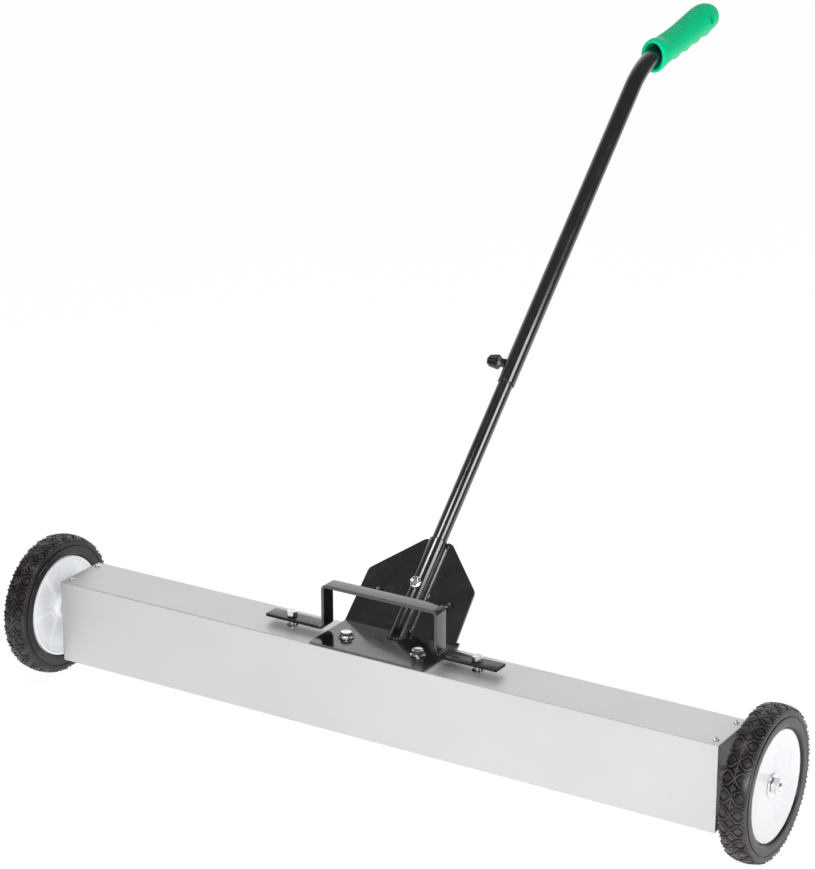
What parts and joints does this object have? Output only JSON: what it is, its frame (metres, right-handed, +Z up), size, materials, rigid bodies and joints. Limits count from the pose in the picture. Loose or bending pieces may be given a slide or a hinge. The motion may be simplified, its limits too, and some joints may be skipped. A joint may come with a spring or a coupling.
{
  "type": "magnetic nail sweeper",
  "caption": "Push-along magnetic sweeper: aluminium housing on wheels, magnets lifted by a bar handle to drop nails, telescopic steel handle with grip.",
  "frame": {"origin": "on the floor, under the centre of the whole sweeper's bounding box; the axle line is 379.2 mm in front of it and 90.5 mm up", "axes": "+X to the right along the axle and housing, +Y to the rear where the handle leans, +Z up"},
  "size_m": [1.0368, 0.9394, 0.7858],
  "materials": {
    "aluminium_sheet": "satin, lightly brushed sheet",
    "black_paint": "glossy black powder coat",
    "zinc_steel": "bright zinc plated fasteners",
    "white_plastic": "moulded white plastic",
    "black_rubber": "matt black moulded rubber",
    "black_plastic": "black moulded plastic",
    "green_grip": "soft green moulded vinyl",
    "ferrite": "dark grey pressed ferrite"
  },
  "bodies": {
    "chassis": {"housing_shell": "aluminium_sheet", "end_plate_left": "black_paint", "end_plate_right": "black_paint", "end_screw_left_front": "zinc_steel", "end_screw_left_rear": "zinc_steel", "end_screw_right_front": "zinc_steel", "end_screw_right_rear": "zinc_steel", "axle_bolt_left": "zinc_steel", "axle_jam_nut_left": "zinc_steel", "axle_spacer_left": "zinc_steel", "axle_washer_left": "zinc_steel", "axle_lock_nut_left": "zinc_steel", "axle_bolt_right": "zinc_steel", "axle_jam_nut_right": "zinc_steel", "axle_spacer_right": "zinc_steel", "axle_washer_right": "zinc_steel", "axle_lock_nut_right": "zinc_steel", "handle_bracket": "black_paint", "bracket_bolt_left": "zinc_steel", "bracket_nut_left": "zinc_steel", "bracket_bolt_right": "zinc_steel", "bracket_nut_right": "zinc_steel", "socket_tube": "black_paint", "socket_bolt": "zinc_steel", "socket_nut": "zinc_steel", "lower_tube": "black_paint"},
    "wheel_left": {"wheel_hub_left": "white_plastic", "tyre_left": "black_rubber"},
    "wheel_right": {"wheel_hub_right": "white_plastic", "tyre_right": "black_rubber"},
    "magnet_lift": {"lift_handle": "black_paint", "lift_bolt_left": "zinc_steel", "lift_nut_left": "zinc_steel", "lift_bolt_right": "zinc_steel", "lift_nut_right": "zinc_steel", "magnet_carrier": "zinc_steel", "magnet_1": "ferrite", "magnet_2": "ferrite", "magnet_3": "ferrite", "magnet_4": "ferrite", "magnet_5": "ferrite", "magnet_6": "ferrite", "magnet_7": "ferrite", "magnet_8": "ferrite"},
    "upper_handle": {"upper_tube": "black_paint", "clamp_boss": "black_paint", "grip": "green_grip"},
    "clamp_screw": {"clamp_knob": "black_plastic", "clamp_stud": "zinc_steel"}
  },
  "joints": [
    {"name": "wheel_left_spin", "type": "hinge", "parent": "chassis", "child": "wheel_left", "pos_m": [-0.49695, -0.37918, 0.0905], "axis": [1, 0, 0], "continuous": true},
    {"name": "wheel_right_spin", "type": "hinge", "parent": "chassis", "child": "wheel_right", "pos_m": [0.49695, -0.37918, 0.0905], "axis": [1, 0, 0], "continuous": true},
    {"name": "magnet_lift_slide", "type": "slide", "parent": "chassis", "child": "magnet_lift", "axis": [0, 0, 1], "range_m": [0, 0.055]},
    {"name": "handle_telescope", "type": "slide", "parent": "chassis", "child": "upper_handle", "axis": [0, 0.7157, 0.6984], "range_m": [-0.222, 0.09]},
    {"name": "clamp_knob_turn", "type": "hinge", "parent": "upper_handle", "child": "clamp_screw", "pos_m": [-0.029, -0.07161, 0.4102], "axis": [-1, 0, 0], "range_deg": [0, 720]}
  ]
}
